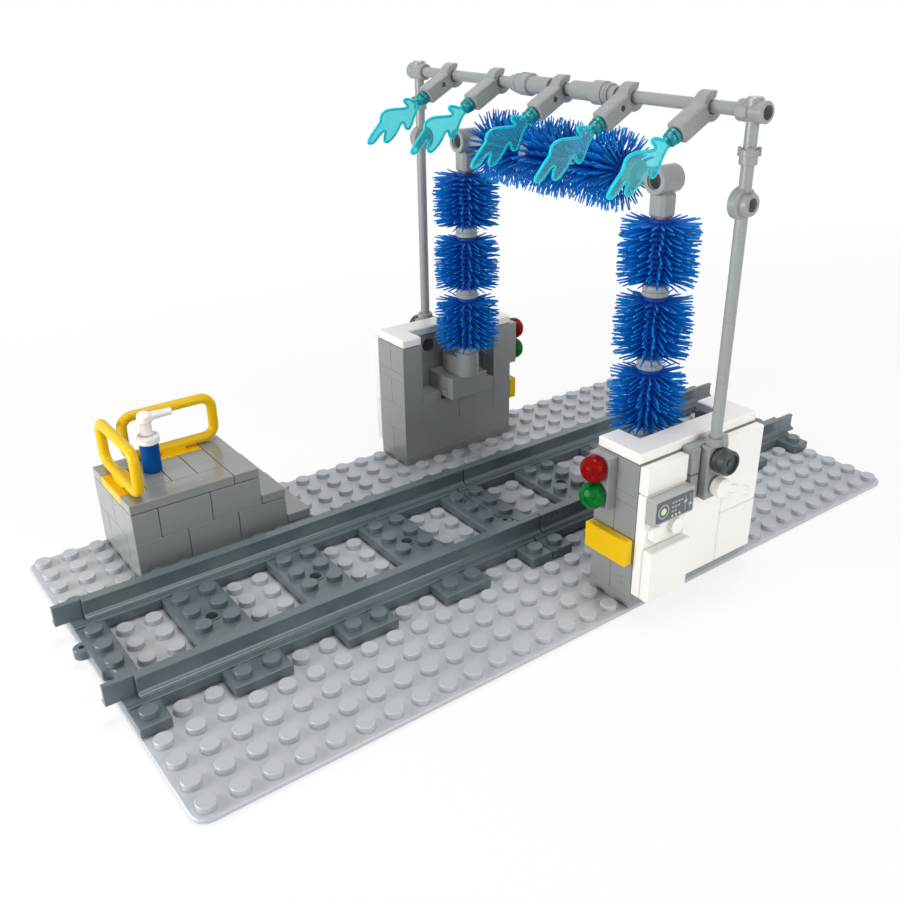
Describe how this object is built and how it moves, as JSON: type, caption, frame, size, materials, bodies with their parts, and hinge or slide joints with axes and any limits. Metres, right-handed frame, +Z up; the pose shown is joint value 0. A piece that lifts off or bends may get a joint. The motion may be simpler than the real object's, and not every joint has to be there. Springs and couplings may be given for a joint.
{
  "type": "toy train wash station",
  "caption": "Toy railway wash station: track on a studded base, brick towers with spinning brush rollers, an overhead spray bar with tilting nozzles and a step platform.",
  "frame": {"origin": "middle of the base plate's underside, which is also the middle of the object's footprint", "axes": "+X along the track towards the end without the platform, +Y across the track towards the platform's side, +Z up"},
  "size_m": [0.2632, 0.15, 0.1377],
  "materials": {
    "base_grey": "smooth moulded",
    "track_grey": "smooth moulded",
    "stone_grey": "smooth moulded",
    "bar_grey": "smooth moulded",
    "white": "smooth moulded",
    "yellow": "smooth moulded",
    "bristle_blue": "soft moulded bristles",
    "bottle_blue": "smooth moulded",
    "clear_turquoise": "clear",
    "clear_red": "clear",
    "clear_green": "clear",
    "panel_slate": "printed",
    "gauge_black": "smooth moulded"
  },
  "bodies": {
    "station": {"baseplate": "base_grey", "track_left": "track_grey", "track_right": "track_grey", "platform_bricks": "stone_grey", "platform_deck": "stone_grey", "handrail_end": "yellow", "handrail_back": "yellow", "bottle_body": "bottle_blue", "near_tower_bricks": "stone_grey", "near_top_tiles": "white", "near_wall_panels": "white", "near_control_panel": "panel_slate", "near_rod_bracket": "stone_grey", "near_yellow_tile": "yellow", "near_red_lamp": "clear_red", "near_green_lamp": "clear_green", "near_gauge": "gauge_black", "near_roller_socket": "bar_grey", "near_roller_head": "bar_grey", "near_riser_rod": "bar_grey", "near_riser_tee": "bar_grey", "far_tower_bricks": "stone_grey", "far_top_tiles": "white", "far_wall_panels": "white", "far_control_panel": "panel_slate", "far_rod_bracket": "stone_grey", "far_yellow_tile": "yellow", "far_red_lamp": "clear_red", "far_green_lamp": "clear_green", "far_gauge": "gauge_black", "far_roller_socket": "bar_grey", "far_roller_head": "bar_grey", "far_riser_rod": "bar_grey", "far_riser_tee": "bar_grey", "spray_bar": "bar_grey"},
    "near_roller": {"near_axle": "bar_grey", "near_brush_1": "bristle_blue", "near_brush_2": "bristle_blue", "near_brush_3": "bristle_blue"},
    "far_roller": {"far_axle": "bar_grey", "far_brush_1": "bristle_blue", "far_brush_2": "bristle_blue", "far_brush_3": "bristle_blue"},
    "top_roller": {"top_axle": "bar_grey", "top_brush_1": "bristle_blue", "top_brush_2": "bristle_blue", "top_brush_3": "bristle_blue"},
    "spray_1": {"nozzle_1": "bar_grey", "splash_1": "clear_turquoise"},
    "spray_2": {"nozzle_2": "bar_grey", "splash_2": "clear_turquoise"},
    "spray_3": {"nozzle_3": "bar_grey", "splash_3": "clear_turquoise"},
    "spray_4": {"nozzle_4": "bar_grey", "splash_4": "clear_turquoise"},
    "spray_5": {"nozzle_5": "bar_grey", "splash_5": "clear_turquoise"},
    "pump": {"bottle_pump": "white"},
    "near_lever": {"near_tap": "white"},
    "far_lever": {"far_tap": "white"}
  },
  "joints": [
    {"name": "near_roller_spin", "type": "hinge", "parent": "station", "child": "near_roller", "pos_m": [0.024, -0.043, 0.0744], "axis": [0, 0, 1], "continuous": true},
    {"name": "far_roller_spin", "type": "hinge", "parent": "station", "child": "far_roller", "pos_m": [0.024, 0.043, 0.0744], "axis": [0, 0, 1], "continuous": true},
    {"name": "top_roller_spin", "type": "hinge", "parent": "station", "child": "top_roller", "pos_m": [0.024, 0, 0.1145], "axis": [0, 1, 0], "continuous": true},
    {"name": "nozzle_1_tilt", "type": "hinge", "parent": "station", "child": "spray_1", "pos_m": [0.024, 0.05022, 0.1337], "axis": [0, 1, 0], "range_deg": [-12, 60]},
    {"name": "nozzle_2_tilt", "type": "hinge", "parent": "station", "child": "spray_2", "pos_m": [0.024, 0.02642, 0.1337], "axis": [0, 1, 0], "range_deg": [-12, 60]},
    {"name": "nozzle_3_tilt", "type": "hinge", "parent": "station", "child": "spray_3", "pos_m": [0.024, -0.00275, 0.1337], "axis": [0, 1, 0], "range_deg": [-12, 60]},
    {"name": "nozzle_4_tilt", "type": "hinge", "parent": "station", "child": "spray_4", "pos_m": [0.024, -0.0291, 0.1337], "axis": [0, 1, 0], "range_deg": [-12, 60]},
    {"name": "nozzle_5_tilt", "type": "hinge", "parent": "station", "child": "spray_5", "pos_m": [0.024, -0.0549, 0.1337], "axis": [0, 1, 0], "range_deg": [-12, 60]},
    {"name": "pump_swivel", "type": "hinge", "parent": "station", "child": "pump", "pos_m": [-0.09, 0.0503, 0.041], "axis": [0, 0, 1], "continuous": true},
    {"name": "near_tap_turn", "type": "hinge", "parent": "station", "child": "near_lever", "pos_m": [0.024, -0.0722, 0.03605], "axis": [0, 1, 0], "range_deg": [-30, 30]},
    {"name": "far_tap_turn", "type": "hinge", "parent": "station", "child": "far_lever", "pos_m": [0.024, 0.0722, 0.03605], "axis": [0, -1, 0], "range_deg": [-30, 30]}
  ]
}
